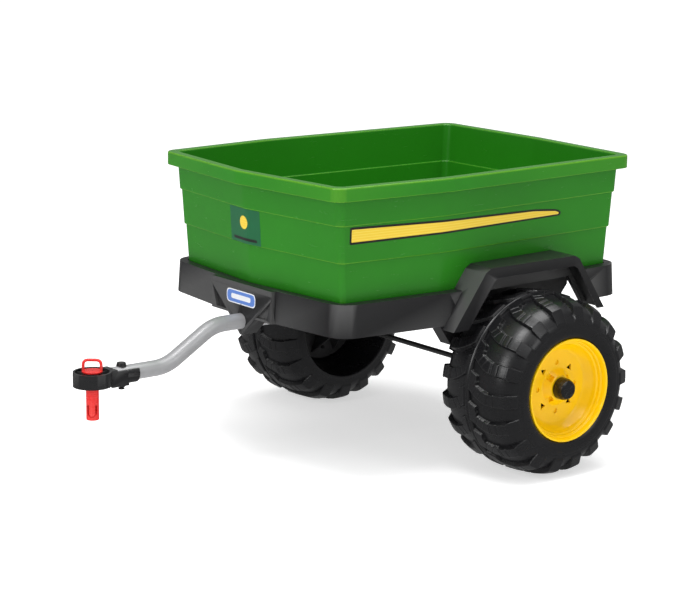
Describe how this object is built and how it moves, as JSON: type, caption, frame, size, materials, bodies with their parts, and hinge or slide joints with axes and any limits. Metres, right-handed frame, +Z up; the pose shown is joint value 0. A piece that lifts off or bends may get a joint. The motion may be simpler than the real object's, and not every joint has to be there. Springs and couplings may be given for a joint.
{
  "type": "ride-on toy trailer",
  "caption": "Two-wheeled tipper-style tub trailer for pedal go-karts and tractors, with balloon plastic tyres and a lift-out hitch pin.",
  "frame": {"origin": "on the ground, in the middle of the trailer's length and width", "axes": "+X forward towards the hitch, +Y to the trailer's left, +Z up"},
  "size_m": [1.0514, 0.815, 0.537],
  "materials": {
    "tub": "blow-moulded green plastic, satin gloss",
    "chassis": "charcoal plastic with a fine grain",
    "axle_steel": "black-coated steel rod",
    "fixings": "zinc-plated steel",
    "black_fixings": "black-coated steel",
    "drawbar": "silver-grey powder-coated steel tube",
    "hitch": "black plastic, semi-gloss",
    "pin": "red plastic, semi-gloss",
    "yellow_sticker": "printed film",
    "green_sticker": "printed film",
    "blue_sticker": "printed film",
    "tyre": "hollow blow-moulded black plastic, fine grain",
    "rim": "yellow plastic, glossy",
    "cap": "black plastic"
  },
  "bodies": {
    "trailer": {"tub": "tub", "chassis_tray": "chassis", "fender_left": "chassis", "fender_right": "chassis", "axle_support_left": "chassis", "axle_support_right": "chassis", "axle": "axle_steel", "axle_spacer_left": "fixings", "axle_spacer_right": "fixings", "push_nut_left": "fixings", "push_nut_right": "fixings", "drawbar_tube": "drawbar", "drawbar_bolt": "black_fixings", "drawbar_nut": "black_fixings", "hitch_head": "hitch", "hitch_screw": "black_fixings", "hitch_washer": "hitch", "hitch_nut": "hitch", "tub_screws": "black_fixings", "tub_nuts": "fixings", "support_screws": "fixings", "fender_screws": "black_fixings", "side_decal_left": "yellow_sticker", "side_decal_right": "yellow_sticker", "front_badge": "green_sticker", "drawbar_label": "blue_sticker"},
    "wheel_left": {"tyre_left": "tyre", "wheel_rim_left": "rim", "hub_disc_left": "chassis", "hub_cap_left": "cap", "wheel_screws_left": "fixings"},
    "wheel_right": {"tyre_right": "tyre", "wheel_rim_right": "rim", "hub_disc_right": "chassis", "hub_cap_right": "cap", "wheel_screws_right": "fixings"},
    "hitch_pin": {"hitch_pin": "pin"}
  },
  "joints": [
    {"name": "wheel_left_spin", "type": "hinge", "parent": "trailer", "child": "wheel_left", "pos_m": [-0.23325, 0.315, 0.162], "axis": [0, 1, 0], "continuous": true},
    {"name": "wheel_right_spin", "type": "hinge", "parent": "trailer", "child": "wheel_right", "pos_m": [-0.23325, -0.315, 0.162], "axis": [0, 1, 0], "continuous": true},
    {"name": "hitch_pin_lift", "type": "slide", "parent": "trailer", "child": "hitch_pin", "axis": [0, 0, 1], "range_m": [0, 0.09]}
  ]
}
